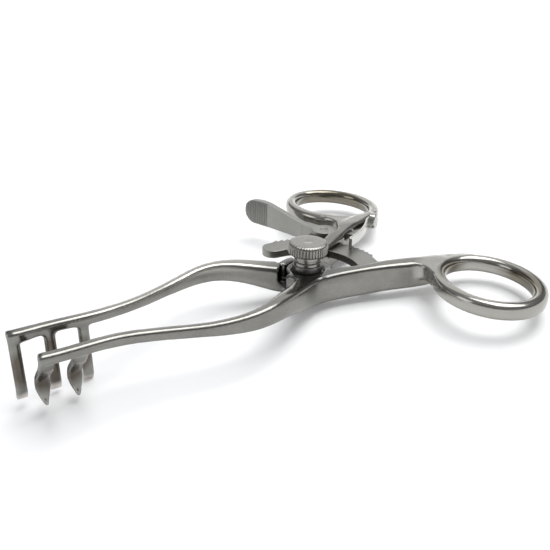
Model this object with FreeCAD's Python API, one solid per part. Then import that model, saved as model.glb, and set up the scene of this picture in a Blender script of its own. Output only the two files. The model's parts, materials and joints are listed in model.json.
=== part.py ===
"""Self retaining retractor with two arms, finger rings, a ratchet bar and a thumb screw.

The arms lie along X with the prongs at minus X and the finger rings at plus X.
Every piece is drawn with the pivot axis on Z and the flat top of the arms at Z = 0.
A last placement stands the whole instrument on its prong tips and ring ends.
All sizes are in millimetres.
"""
import FreeCAD, Part
import math
import os

from FreeCAD import Rotation, Vector

# Lap joint at the pivot
JOINT_DEPTH = 6.8
LAP_DEPTH = 3.4
LAP_GAP = 0.05
UPPER_HUB_RADIUS = 6.2
LOWER_HUB_RADIUS = 5.1
HUB_POCKET_GAP = 0.35
HUB_EDGE_ROUND = 0.5
LAP_FLANK = (-4.2, 5.6)

# Arms, one station for each change of line: x, distance from the middle line, width, top, bottom
ARM_STATIONS = (
    (-60.0, 5.75, 2.4, -0.3, -2.6),
    (-53.0, 5.60, 2.4, -0.3, -2.6),
    (-48.0, 5.65, 2.4, -0.35, -2.8),
    (-43.0, 6.45, 2.3, -0.55, -3.0),
    (-37.0, 8.15, 2.2, -0.75, -3.3),
    (-31.0, 10.30, 2.2, -0.65, -3.5),
    (-26.5, 11.70, 2.3, -0.25, -3.6),
    (-22.0, 12.55, 2.5, 0.4, -3.6),
    (-17.3, 12.00, 3.0, 0.9, -3.6),
    (-12.6, 9.95, 3.9, 0.9, -4.1),
    (-8.0, 7.40, 4.4, 0.4, -5.4),
    (-3.0, 4.60, 4.8, 0.0, -6.7),
    (2.5, 4.05, 4.6, 0.1, -6.8),
    (8.5, 6.70, 3.5, 0.9, -6.1),
    (14.5, 9.70, 3.9, 1.9, -4.9),
    (20.0, 12.55, 4.4, 2.5, -4.1),
    (25.0, 14.80, 4.8, 2.7, -3.0),
    (28.5, 16.00, 4.2, 2.5, -1.4),
)
ARM_TIP_WIDTH = 2.4
ARM_TIP_TOP = -0.25
ARM_TIP_BOTTOM = -2.5
ARM_TIP_OFFSET = 5.7
FAR_TIP_X = -65.9
NEAR_TIP_X = -62.9
ARM_CORNER_SHARE = 0.24
CORNER_FLATS = 3

# Finger rings, oval, with the long axis turned away from the middle line
RING_CENTRE = (28.1, 28.65)
RING_HOLE_HALF_SHORT = 8.7
RING_HOLE_HALF_LONG = 10.75
RING_BAND = 2.95
RING_TURN = 16.0
RING_TOP = 2.6
RING_BOTTOM = -1.2
RING_ROUND = 1.15

# Three blunt prongs on the far arm
FAR_PRONG_WIDTH = 2.2
FAR_PRONG_THICK = 1.2
FAR_PRONG_PITCH = 6.75
FAR_PRONG_COUNT = 3
FAR_PRONG_FACE = 4.6
FAR_PRONG_BEND = -13.0
FAR_PRONG_DEPTH = -15.8
FAR_PRONG_CURL = 1.0
WINDOW_TOP = -2.5
WINDOW_ROUND = 0.8

# Two sharp prongs on the near arm
NEAR_PRONG_WIDTH = 3.0
NEAR_PRONG_THICK = 1.2
NEAR_PRONG_X = (-61.4, -55.0)
NEAR_PRONG_PATH = (
    (-5.7, -1.0),
    (-4.3, -4.0),
    (-1.0, -7.2),
    (1.3, -10.2),
    (1.4, -12.9),
    (0.0, -15.3),
)
NEAR_PRONG_POINT = 4.2

# Ratchet bar, an arc about the pivot
BAR_INNER_RADIUS = 12.2
BAR_OUTER_RADIUS = 18.3
BAR_TOP = -0.1
BAR_THICK = 1.8
BAR_START = -37.0
BAR_END = 90.0
TOOTH_DEPTH = 0.75
TOOTH_PITCH = 5.0
TOOTH_FIRST = -4.7
BAR_SIDE_GAP = 0.2
BAR_FACE_GAP = 0.12
RIVET_RADIUS = 0.8
RIVET_ANGLES = (-26.0, -33.0)
RIVET_BOTTOM = -4.85
RIVET_TOP = 0.4

# Pawl lever, pinned to a shelf on the outer side of the far shank
PAWL_PIN_ANGLE = 44.3
PAWL_PIN_REACH = 4.0
PAWL_PIN_RADIUS = 0.9
PAWL_TOP = 1.3
PAWL_BOTTOM = -3.15
PAWL_BOSS_RADIUS = 3.1
NOSE_ANGLE = 55.5
NOSE_GAP = 0.28
NOSE_HALF_WIDTH = 0.55
TAIL_OFFSET = (4.6, -6.0)
TAIL_HALF_WIDTH = 0.9
TAIL_SWING_GAP = 1.5
TAIL_BOTTOM = 0.15
TAIL_TOP = 1.35
LEVER_ROOT = (14.3, 21.2)
LEVER_PAD_START = (10.9, 31.4)
LEVER_PAD_END = (7.7, 41.0)
LEVER_THICK = 1.5
LEVER_ROOT_Z = (-3.15, 1.3)
LEVER_PAD_Z = (-2.7, 4.1)
SHELF_RADIUS = 3.5
SHELF_TOP = -3.25
SHELF_BOTTOM = -5.0
SHAFT_GAP = 0.05

# Leaf spring on the inner side of the far shank, above the bar
LEAF_BASE = (30.4, 14.9)
LEAF_TIP_ANGLE = 17.5
LEAF_TIP_INSIDE = 1.2
LEAF_BOW = 0.9
LEAF_THICK = 0.5
LEAF_HEIGHT = 2.5
LEAF_MIDDLE_Z = 1.3
LEAF_FOOT = 5.2
LEAF_FLAT_END = 0.7
LEAF_FLAT_RUN = 4.5
SEAT_LENGTH = 5.8
SEAT_REACH = 3.4
SEAT_HEIGHT = 3.0

# Slotted screw that holds the leaf spring
SCREW_HEAD_RADIUS = 2.1
SCREW_HEAD_DEPTH = 1.7
SCREW_SHANK_RADIUS = 1.0
SCREW_SHANK_LENGTH = 3.4
SCREW_SLOT_WIDTH = 0.6
SCREW_SLOT_DEPTH = 0.7
SCREW_EDGE = 0.25

# Thumb screw and its collar
HEAD_RADIUS = 4.6
HEAD_TOP = 6.7
HEAD_BOTTOM = 3.9
HEAD_ROUND = 0.45
NECK_RADIUS = 3.25
NECK_BOTTOM = 1.45
NECK_GROOVE = 0.35
JOURNAL_RADIUS = 2.0
THREAD_RADIUS = 1.6
THREAD_END = -5.8
COLLAR_RADIUS = 3.4
COLLAR_TOP = 1.4
COLLAR_EDGE = 0.25
RECESS_RADIUS = 4.0
RECESS_DEPTH = 0.8
FACE_GAP = 0.05

# Standing placement
TIP_REST = (-65.0, FAR_PRONG_DEPTH)
RING_REST = (40.0, RING_BOTTOM)


def flat_spline(points):
    """Return one smooth edge through plan points at Z = 0."""
    curve = Part.BSplineCurve()
    curve.interpolate([Vector(x, y, 0) for x, y in points])
    return curve


def corner_steps(radius):
    """Return the inset and drop of each break in a corner rounded with short flats."""
    turns = [math.pi / 2 * index / CORNER_FLATS for index in range(CORNER_FLATS + 1)]
    return [(radius * (1 - math.cos(turn)), radius * (1 - math.sin(turn))) for turn in turns]


def soft_section(centre, heading, width, top, bottom):
    """Return a rectangle with rounded corners standing across a heading, as one closed wire."""
    side = Vector(-math.sin(heading), math.cos(heading), 0)
    middle = Vector(centre[0], centre[1], (top + bottom) / 2)
    half_width = width / 2
    half_height = (top - bottom) / 2
    steps = corner_steps(ARM_CORNER_SHARE * min(width, top - bottom))
    points = []
    for across_sign, rise_sign, order in ((1, 1, 1), (-1, 1, -1), (-1, -1, 1), (1, -1, -1)):
        for inset, drop in steps[::order]:
            across = across_sign * (half_width - inset)
            rise = rise_sign * (half_height - drop)
            points.append(middle + side * across + Vector(0, 0, rise))
    return Part.makePolygon(points + [points[0]])


def arm_body(tip_x):
    """Loft one arm from its tip, past the pivot, into the finger ring."""
    stations = ((tip_x, ARM_TIP_OFFSET, ARM_TIP_WIDTH, ARM_TIP_TOP, ARM_TIP_BOTTOM),) + ARM_STATIONS
    line = flat_spline([(x, y) for x, y, *_ in stations])
    wires = []
    for x, y, width, top, bottom in stations:
        parameter = line.parameter(Vector(x, y, 0))
        heading_vector = line.tangent(parameter)[0]
        heading = math.atan2(heading_vector.y, heading_vector.x)
        wires.append(soft_section((x, y), heading, width, top, bottom))
    return Part.makeLoft(wires, True, False)


def ring_oval(offset, level):
    """Return one oval wire about the ring centre, offset outwards from the finger hole."""
    oval = Part.Ellipse(Vector(0, 0, 0), RING_HOLE_HALF_LONG + offset, RING_HOLE_HALF_SHORT + offset)
    wire = Part.Wire(oval.toShape())
    wire.rotate(Vector(0, 0, 0), Vector(0, 0, 1), 90 + RING_TURN)
    wire.translate(Vector(RING_CENTRE[0], RING_CENTRE[1], level))
    return wire


def finger_ring():
    """Return the oval disc of the finger ring, with its outer edges rounded."""
    steps = corner_steps(RING_ROUND)
    ovals = [ring_oval(RING_BAND - inset, RING_BOTTOM + drop) for inset, drop in steps[::-1]]
    ovals += [ring_oval(RING_BAND - inset, RING_TOP - drop) for inset, drop in steps]
    return Part.makeLoft(ovals, True, True)


def ring_hole():
    """Return the finger hole as a cutting solid with rounded rims."""
    steps = corner_steps(RING_ROUND)
    ovals = [ring_oval(RING_ROUND, RING_BOTTOM - 3)]
    ovals += [ring_oval(inset, RING_BOTTOM + drop) for inset, drop in steps[::-1]]
    ovals += [ring_oval(inset, RING_TOP - drop) for inset, drop in steps]
    ovals.append(ring_oval(RING_ROUND, RING_TOP + 3))
    return Part.makeLoft(ovals, True, True)


def cylinder(radius, bottom, top, at=(0.0, 0.0)):
    """Return an upright cylinder between two levels."""
    return Part.makeCylinder(radius, top - bottom, Vector(at[0], at[1], bottom))


def upright(outline, bottom, top):
    """Extrude a closed plan wire between two levels."""
    face = Part.Face(outline)
    face.translate(Vector(0, 0, bottom))
    return face.extrude(Vector(0, 0, top - bottom))


def polar(radius, degrees):
    """Return a plan point at a radius and an angle about the pivot."""
    angle = math.radians(degrees)
    return Vector(radius * math.cos(angle), radius * math.sin(angle), 0)


def ring_sector(inner, outer, start, end, bottom, top):
    """Return a solid sector of a flat ring about the pivot."""
    middle = (start + end) / 2
    outline = Part.Wire([
        Part.Arc(polar(outer, start), polar(outer, middle), polar(outer, end)).toShape(),
        Part.LineSegment(polar(outer, end), polar(inner, end)).toShape(),
        Part.Arc(polar(inner, end), polar(inner, middle), polar(inner, start)).toShape(),
        Part.LineSegment(polar(inner, start), polar(outer, start)).toShape(),
    ])
    return upright(outline, bottom, top)


def lane(start, end, half_width, bottom, top):
    """Return a straight lane with round ends between two plan points."""
    a = Vector(start[0], start[1], 0)
    b = Vector(end[0], end[1], 0)
    along = (b - a).normalize()
    side = Vector(-along.y, along.x, 0) * half_width
    outline = Part.Wire([
        Part.LineSegment(a + side, b + side).toShape(),
        Part.Arc(b + side, b + along * half_width, b - side).toShape(),
        Part.LineSegment(b - side, a - side).toShape(),
        Part.Arc(a - side, a - along * half_width, a + side).toShape(),
    ])
    return upright(outline, bottom, top)


def open_flank(bottom, top):
    """Return the space beside the far arm's hub that the upper hub shows through."""
    start, end = LAP_FLANK
    return Part.makeBox(end - start, 10, top - bottom, Vector(start, 0, bottom))


def pawl_pin_at():
    """Return the plan place of the pawl pin, a set reach outside the bar's teeth."""
    spot = polar(BAR_OUTER_RADIUS + PAWL_PIN_REACH, PAWL_PIN_ANGLE)
    return spot.x, spot.y


def tail_at():
    """Return the plan place of the end of the pawl's tail."""
    x, y = pawl_pin_at()
    return x + TAIL_OFFSET[0], y + TAIL_OFFSET[1]


def bar_space():
    """Return the space a shank leaves free for the ratchet bar."""
    bottom = BAR_TOP - BAR_THICK - BAR_FACE_GAP
    top = BAR_TOP + BAR_FACE_GAP
    inner = BAR_INNER_RADIUS - BAR_SIDE_GAP
    return inner, BAR_OUTER_RADIUS + BAR_SIDE_GAP, bottom, top


def far_prongs():
    """Return the comb of three straight prongs with curled blunt ends."""
    first = FAR_TIP_X
    last = first + FAR_PRONG_PITCH * (FAR_PRONG_COUNT - 1) + FAR_PRONG_WIDTH
    plate = Part.makeBox(last - first, FAR_PRONG_THICK, -0.6 - FAR_PRONG_BEND,
                         Vector(first, FAR_PRONG_FACE, FAR_PRONG_BEND))
    inner_face = FAR_PRONG_FACE
    outer_face = FAR_PRONG_FACE + FAR_PRONG_THICK
    half_drop = (FAR_PRONG_BEND + FAR_PRONG_DEPTH) / 2
    curl_wire = Part.Wire([
        Part.Arc(Vector(first, inner_face, FAR_PRONG_BEND),
                 Vector(first, inner_face + FAR_PRONG_CURL * 0.28, half_drop),
                 Vector(first, inner_face + FAR_PRONG_CURL, FAR_PRONG_DEPTH)).toShape(),
        Part.Arc(Vector(first, inner_face + FAR_PRONG_CURL, FAR_PRONG_DEPTH),
                 Vector(first, (inner_face + outer_face) / 2 + FAR_PRONG_CURL + 0.2, FAR_PRONG_DEPTH - 0.05),
                 Vector(first, outer_face + FAR_PRONG_CURL, FAR_PRONG_DEPTH + 0.5)).toShape(),
        Part.Arc(Vector(first, outer_face + FAR_PRONG_CURL, FAR_PRONG_DEPTH + 0.5),
                 Vector(first, outer_face + FAR_PRONG_CURL * 0.28, half_drop + 0.3),
                 Vector(first, outer_face, FAR_PRONG_BEND)).toShape(),
        Part.LineSegment(Vector(first, outer_face, FAR_PRONG_BEND),
                         Vector(first, inner_face, FAR_PRONG_BEND)).toShape(),
    ])
    comb = plate.fuse(Part.Face(curl_wire).extrude(Vector(last - first, 0, 0)))
    for index in range(FAR_PRONG_COUNT - 1):
        left = first + FAR_PRONG_PITCH * index + FAR_PRONG_WIDTH
        right = left + FAR_PRONG_PITCH - FAR_PRONG_WIDTH
        window = Part.makeBox(right - left, 8, WINDOW_TOP - FAR_PRONG_DEPTH + 2,
                              Vector(left, FAR_PRONG_FACE - 3, FAR_PRONG_DEPTH - 2))
        top_edges = [e for e in window.Edges
                     if abs(e.BoundBox.ZMin - WINDOW_TOP) < 0.01 and e.BoundBox.YLength > 5]
        comb = comb.cut(window.makeFillet(WINDOW_ROUND, top_edges))
    return comb


def near_prong(middle_x):
    """Return one sharp prong that bows inward and turns out at its point."""
    path = Part.BSplineCurve()
    path.interpolate([Vector(0, y, z) for y, z in NEAR_PRONG_PATH])
    steps = 14
    faces = ([], [])
    for index in range(steps + 1):
        share = index / steps
        parameter = path.FirstParameter + (path.LastParameter - path.FirstParameter) * share
        point = path.value(parameter)
        tangent = path.tangent(parameter)[0]
        normal = Vector(0, -tangent.z, tangent.y)
        half = NEAR_PRONG_THICK / 2 * (1.0 - 0.55 * max(0.0, share - 0.7) / 0.3)
        faces[0].append(point + normal * half)
        faces[1].append(point - normal * half)
    edges = []
    for side in faces:
        curve = Part.BSplineCurve()
        curve.interpolate(side)
        edges.append(curve.toShape())
    edges.append(Part.LineSegment(faces[0][0], faces[1][0]).toShape())
    edges.append(Part.LineSegment(faces[0][-1], faces[1][-1]).toShape())
    strap = Part.Face(Part.Wire(Part.__sortEdges__(edges)))
    strap.translate(Vector(middle_x - NEAR_PRONG_WIDTH / 2, 0, 0))
    strap = strap.extrude(Vector(NEAR_PRONG_WIDTH, 0, 0))
    half = NEAR_PRONG_WIDTH / 2
    low = NEAR_PRONG_PATH[-1][1] - 0.6
    shoulder = low + NEAR_PRONG_POINT
    corner = (Vector(middle_x - half * 0.82, -12, shoulder - 1.2), Vector(middle_x + half * 0.82, -12, shoulder - 1.2))
    shield = Part.Face(Part.Wire([
        Part.LineSegment(Vector(middle_x - half, -12, 0), Vector(middle_x + half, -12, 0)).toShape(),
        Part.LineSegment(Vector(middle_x + half, -12, 0), Vector(middle_x + half, -12, shoulder)).toShape(),
        Part.Arc(Vector(middle_x + half, -12, shoulder), corner[1],
                 Vector(middle_x, -12, low)).toShape(),
        Part.Arc(Vector(middle_x, -12, low), corner[0],
                 Vector(middle_x - half, -12, shoulder)).toShape(),
        Part.LineSegment(Vector(middle_x - half, -12, shoulder), Vector(middle_x - half, -12, 0)).toShape(),
    ]))
    return strap.common(shield.extrude(Vector(0, 20, 0)))


def make_near_arm():
    """Return the arm with two sharp prongs, the upper half of the lap joint and the bar seat."""
    body = arm_body(NEAR_TIP_X).fuse(finger_ring())
    body = body.mirror(Vector(0, 0, 0), Vector(0, 1, 0))
    hub = cylinder(UPPER_HUB_RADIUS, -LAP_DEPTH + LAP_GAP / 2, 0)
    hub = hub.makeChamfer(HUB_EDGE_ROUND, [e for e in hub.Edges if e.BoundBox.ZMin > -0.01])
    body = body.cut(cylinder(LOWER_HUB_RADIUS + HUB_POCKET_GAP, -JOINT_DEPTH - 2, -LAP_DEPTH + LAP_GAP / 2))
    body = body.fuse(hub)
    body = body.cut(ring_hole().mirror(Vector(0, 0, 0), Vector(0, 1, 0)))
    for middle_x in NEAR_PRONG_X:
        body = body.fuse(near_prong(middle_x))
    body = body.cut(cylinder(RECESS_RADIUS, -RECESS_DEPTH, 2))
    body = body.cut(cylinder(JOURNAL_RADIUS + SHAFT_GAP, -JOINT_DEPTH, 2))
    bottom = BAR_TOP - BAR_THICK
    seat = ring_sector(BAR_INNER_RADIUS, BAR_OUTER_RADIUS, BAR_START, 0, bottom, BAR_TOP)
    body = body.cut(seat)
    for angle in RIVET_ANGLES:
        centre = polar((BAR_INNER_RADIUS + BAR_OUTER_RADIUS) / 2, angle)
        body = body.cut(cylinder(RIVET_RADIUS, -JOINT_DEPTH, RIVET_TOP, (centre.x, centre.y)))
    return body


def make_far_arm():
    """Return the arm with three blunt prongs, the lower half of the lap joint and the ratchet slot."""
    body = arm_body(FAR_TIP_X).fuse(finger_ring())
    body = body.cut(cylinder(UPPER_HUB_RADIUS + HUB_POCKET_GAP, -LAP_DEPTH - LAP_GAP / 2, 3))
    body = body.cut(open_flank(-LAP_DEPTH - LAP_GAP / 2, 3))
    hub = cylinder(LOWER_HUB_RADIUS, -JOINT_DEPTH, -LAP_DEPTH - LAP_GAP / 2)
    hub = hub.makeChamfer(HUB_EDGE_ROUND, [e for e in hub.Edges if e.BoundBox.ZMax < -JOINT_DEPTH + 0.01])
    body = body.fuse(hub)
    shelf = cylinder(SHELF_RADIUS, SHELF_BOTTOM, SHELF_TOP, pawl_pin_at())
    inward = (pawl_pin_at()[0] + 1.6, pawl_pin_at()[1] - 4.2)
    shelf = shelf.fuse(lane(pawl_pin_at(), inward, SHELF_RADIUS, SHELF_BOTTOM, SHELF_TOP))
    body = body.fuse(shelf)
    body = body.cut(leaf_flat()).fuse(leaf_seat())
    body = body.cut(ring_hole())
    body = body.fuse(far_prongs())
    body = body.cut(cylinder(THREAD_RADIUS + SHAFT_GAP, -JOINT_DEPTH - 2, 2))
    inner, outer, bottom, top = bar_space()
    body = body.cut(ring_sector(inner, outer, 8, 75, bottom, top))
    body = body.cut(pawl_space())
    body = body.cut(cylinder(PAWL_PIN_RADIUS, -JOINT_DEPTH, 2, pawl_pin_at()))
    body = body.cut(screw_bore())
    return body


def leaf_frame():
    """Return the foot point, the direction towards the free end and the direction off the shank."""
    base = Vector(LEAF_BASE[0], LEAF_BASE[1], 0)
    tip = polar(BAR_OUTER_RADIUS - LEAF_TIP_INSIDE, LEAF_TIP_ANGLE)
    along = (tip - base).normalize()
    away = Vector(-along.y, along.x, 0)
    return base, tip, along, away


def leaf_seat():
    """Return the flat boss that the foot of the leaf spring is screwed against."""
    base, _, along, away = leaf_frame()
    corner = base - away * (LEAF_THICK / 2) - along * (SEAT_LENGTH / 2 - 0.3)
    outline = Part.makePolygon([
        corner,
        corner + along * SEAT_LENGTH,
        corner + along * (SEAT_LENGTH + 1.2) - away * SEAT_REACH,
        corner - along * 1.2 - away * SEAT_REACH,
        corner,
    ])
    return upright(outline, LEAF_MIDDLE_Z - SEAT_HEIGHT / 2, LEAF_MIDDLE_Z + SEAT_HEIGHT / 2)


def leaf_flat():
    """Return the shallow flat milled along the shank, so that the foot and the screw head lie clear."""
    base, _, along, away = leaf_frame()
    start = base - away * (LEAF_THICK / 2) - along * (LEAF_FOOT / 2 + LEAF_FLAT_END)
    end = base - away * (LEAF_THICK / 2) + along * (LEAF_FOOT / 2 + LEAF_FLAT_RUN)
    reach = away * (LEAF_THICK + SCREW_HEAD_DEPTH + LEAF_FLAT_END)
    outline = Part.makePolygon([start, end, end + reach, start + reach, start])
    return upright(outline, LEAF_MIDDLE_Z - SCREW_HEAD_RADIUS - FACE_GAP, LEAF_MIDDLE_Z + SEAT_HEIGHT)


def screw_line():
    """Return where the spring screw passes the leaf, and the direction into the shank."""
    base, _, _, away = leaf_frame()
    start = base + away * (LEAF_THICK / 2)
    start.z = LEAF_MIDDLE_Z
    return start, away * -1


def screw_bore():
    """Return the threaded hole for the spring screw."""
    start, inward = screw_line()
    return Part.makeCylinder(SCREW_SHANK_RADIUS, SCREW_SHANK_LENGTH, start, inward)


def pawl_space():
    """Return the space cut in the far shank for the swinging pawl and its tail."""
    slot = lane(pawl_pin_at(), tail_at(), TAIL_HALF_WIDTH + TAIL_SWING_GAP,
                TAIL_BOTTOM - BAR_FACE_GAP, TAIL_TOP + BAR_FACE_GAP)
    boss = cylinder(PAWL_BOSS_RADIUS + 0.35, SHELF_TOP, 3, pawl_pin_at())
    return slot.fuse(boss)


def make_ratchet_bar():
    """Return the toothed arc, riveted in the near shank and free at its other end."""
    root_radius = BAR_OUTER_RADIUS - TOOTH_DEPTH
    count = int((BAR_END - 4 - TOOTH_FIRST) / TOOTH_PITCH)
    points = [polar(root_radius, TOOTH_FIRST - 1)]
    for index in range(count):
        angle = TOOTH_FIRST + TOOTH_PITCH * index
        points.append(polar(root_radius, angle))
        points.append(polar(BAR_OUTER_RADIUS, angle + 0.35))
        points.append(polar(BAR_OUTER_RADIUS, angle + 1.1))
    last = TOOTH_FIRST + TOOTH_PITCH * count
    points.append(polar(root_radius, last))
    toothed = Part.makePolygon(points).Edges
    width = root_radius - BAR_INNER_RADIUS
    end_middle = polar((root_radius + BAR_INNER_RADIUS) / 2, BAR_END)
    end_heading = Vector(-math.sin(math.radians(BAR_END)), math.cos(math.radians(BAR_END)), 0)
    nose = end_middle + end_heading * (width / 2)
    first = points[0]
    root_end = polar(root_radius, BAR_START)
    edges = list(toothed)
    edges.append(Part.Arc(polar(root_radius, last), polar(root_radius, (last + BAR_END) / 2),
                          polar(root_radius, BAR_END)).toShape())
    edges.append(Part.Arc(polar(root_radius, BAR_END), nose, polar(BAR_INNER_RADIUS, BAR_END)).toShape())
    edges.append(Part.Arc(polar(BAR_INNER_RADIUS, BAR_END), polar(BAR_INNER_RADIUS, 30),
                          polar(BAR_INNER_RADIUS, BAR_START)).toShape())
    edges.append(Part.LineSegment(polar(BAR_INNER_RADIUS, BAR_START), root_end).toShape())
    edges.append(Part.Arc(root_end, polar(root_radius, (BAR_START + TOOTH_FIRST - 1) / 2), first).toShape())
    bar = upright(Part.Wire(edges), BAR_TOP - BAR_THICK, BAR_TOP)
    for angle in RIVET_ANGLES:
        centre = polar((BAR_INNER_RADIUS + BAR_OUTER_RADIUS) / 2, angle)
        bar = bar.cut(cylinder(RIVET_RADIUS, -JOINT_DEPTH, RIVET_TOP, (centre.x, centre.y)))
    return bar


def make_ratchet_rivets():
    """Return the two flush rivets that hold the bar in the near shank."""
    rivets = []
    for angle in RIVET_ANGLES:
        centre = polar((BAR_INNER_RADIUS + BAR_OUTER_RADIUS) / 2, angle)
        rivets.append(cylinder(RIVET_RADIUS, RIVET_BOTTOM, RIVET_TOP - FACE_GAP, (centre.x, centre.y)))
    return Part.makeCompound(rivets)


def make_pawl_lever():
    """Return the pawl with its nose, its tail and the upright thumb lever."""
    bar_bottom = BAR_TOP - BAR_THICK
    boss = cylinder(PAWL_BOSS_RADIUS, PAWL_BOTTOM, PAWL_TOP, pawl_pin_at())
    tip_radius = BAR_OUTER_RADIUS + NOSE_GAP
    point = polar(tip_radius, NOSE_ANGLE)
    outward = polar(1, NOSE_ANGLE)
    round_wise = Vector(-outward.y, outward.x, 0)
    pin = Vector(*pawl_pin_at(), 0)
    nose = upright(Part.makePolygon([
        point - round_wise * 0.25,
        point + round_wise * 0.25,
        point + outward * 1.1 + round_wise * NOSE_HALF_WIDTH,
        pin + Vector(-1.2, 2.9, 0),
        pin + Vector(0.5, 0, 0),
        pin + Vector(-1.9, -2.2, 0),
        point + outward * 0.75 - round_wise * 1.0,
        point - round_wise * 0.25,
    ]), bar_bottom, BAR_TOP)
    tail = lane(pawl_pin_at(), tail_at(), TAIL_HALF_WIDTH, TAIL_BOTTOM, TAIL_TOP)
    root = Vector(LEVER_ROOT[0], LEVER_ROOT[1], 0)
    neck = lane(pawl_pin_at(), LEVER_ROOT, LEVER_THICK * 0.9, PAWL_BOTTOM, PAWL_TOP)
    pad_start = Vector(LEVER_PAD_START[0], LEVER_PAD_START[1], 0)
    pad_end = Vector(LEVER_PAD_END[0], LEVER_PAD_END[1], 0)
    along = (pad_end - root).normalize()
    across = Vector(-along.y, along.x, 0)
    length = (pad_end - root).Length
    pad_at = (pad_start - root).dot(along)
    low_root, high_root = LEVER_ROOT_Z
    low_pad, high_pad = LEVER_PAD_Z
    half_pad = (high_pad - low_pad) / 2

    def face_point(distance, level):
        return root + along * distance + Vector(0, 0, level) - across * (LEVER_THICK / 2)

    side = Part.Wire([
        Part.LineSegment(face_point(-2.4, low_root), face_point(-2.4, high_root)).toShape(),
        Part.LineSegment(face_point(-2.4, high_root), face_point(1.0, high_root)).toShape(),
        Part.LineSegment(face_point(1.0, high_root), face_point(pad_at, high_pad - 0.5)).toShape(),
        Part.Arc(face_point(pad_at, high_pad - 0.5), face_point(pad_at + 2.4, high_pad),
                 face_point(length - half_pad, high_pad - 0.1)).toShape(),
        Part.Arc(face_point(length - half_pad, high_pad - 0.1), face_point(length, (low_pad + high_pad) / 2),
                 face_point(length - half_pad, low_pad)).toShape(),
        Part.LineSegment(face_point(length - half_pad, low_pad), face_point(pad_at, low_pad)).toShape(),
        Part.LineSegment(face_point(pad_at, low_pad), face_point(-2.4, low_root)).toShape(),
    ])
    plate = Part.Face(side).extrude(across * LEVER_THICK)
    pawl = boss.fuse(nose).fuse(tail).fuse(neck).fuse(plate)
    pawl = pawl.cut(cylinder(PAWL_PIN_RADIUS + SHAFT_GAP, -JOINT_DEPTH, 3, pawl_pin_at()))
    return pawl.removeSplitter()


def make_pawl_pin():
    """Return the flush pin that carries the pawl on its shelf."""
    return cylinder(PAWL_PIN_RADIUS, SHELF_BOTTOM + 0.05, PAWL_TOP - 0.05, pawl_pin_at())


def make_leaf_spring():
    """Return the bowed leaf with its flat foot and turned free end."""
    base, tip, along, away = leaf_frame()
    foot_start = base - along * 2.6
    foot_end = base + along * (LEAF_FOOT - 2.6)
    middle = (foot_end + tip) * 0.5 + away * LEAF_BOW
    half = away * (LEAF_THICK / 2)
    curl = along * 0.9 + away * 0.55
    outline = Part.Wire([
        Part.LineSegment(foot_start - half, foot_end - half).toShape(),
        Part.Arc(foot_end - half, middle - half, tip - half).toShape(),
        Part.LineSegment(tip - half, tip - half + curl).toShape(),
        Part.LineSegment(tip - half + curl, tip + half + curl).toShape(),
        Part.LineSegment(tip + half + curl, tip + half).toShape(),
        Part.Arc(tip + half, middle + half, foot_end + half).toShape(),
        Part.LineSegment(foot_end + half, foot_start + half).toShape(),
        Part.LineSegment(foot_start + half, foot_start - half).toShape(),
    ])
    leaf = upright(outline, LEAF_MIDDLE_Z - LEAF_HEIGHT / 2, LEAF_MIDDLE_Z + LEAF_HEIGHT / 2)
    return leaf.cut(screw_hole_in_leaf())


def screw_hole_in_leaf():
    """Return the clearance hole through the foot of the leaf."""
    start, inward = screw_line()
    return Part.makeCylinder(SCREW_SHANK_RADIUS, LEAF_THICK * 4, start - inward * LEAF_THICK, inward)


def make_spring_screw():
    """Return the slotted cheese head screw on its side."""
    start, inward = screw_line()
    outward = inward * -1
    head = Part.makeCylinder(SCREW_HEAD_RADIUS, SCREW_HEAD_DEPTH, start, outward)
    rim = [e for e in head.Edges if (e.CenterOfMass - start).Length > SCREW_HEAD_DEPTH * 0.9 and e.Closed]
    head = head.makeChamfer(SCREW_EDGE, rim)
    shank = Part.makeCylinder(SCREW_SHANK_RADIUS, SCREW_SHANK_LENGTH, start, inward)
    slot = Part.makeBox(SCREW_HEAD_RADIUS * 3, SCREW_SLOT_WIDTH, SCREW_SLOT_DEPTH * 2)
    slot.translate(Vector(-SCREW_HEAD_RADIUS * 1.5, -SCREW_SLOT_WIDTH / 2, 0))
    slot.rotate(Vector(0, 0, 0), Vector(0, 0, 1), 65)
    slot.Placement = FreeCAD.Placement(start + outward * (SCREW_HEAD_DEPTH - SCREW_SLOT_DEPTH),
                                       Rotation(Vector(0, 0, 1), outward)).multiply(slot.Placement)
    return head.fuse(shank).cut(slot)


def make_collar():
    """Return the thick loose collar under the thumb screw."""
    bottom = -RECESS_DEPTH + FACE_GAP
    collar = cylinder(COLLAR_RADIUS, bottom, COLLAR_TOP)
    rims = [e for e in collar.Edges if e.Closed]
    collar = collar.makeChamfer(COLLAR_EDGE, rims)
    return collar.cut(cylinder(JOURNAL_RADIUS + SHAFT_GAP, -JOINT_DEPTH, 4))


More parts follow.
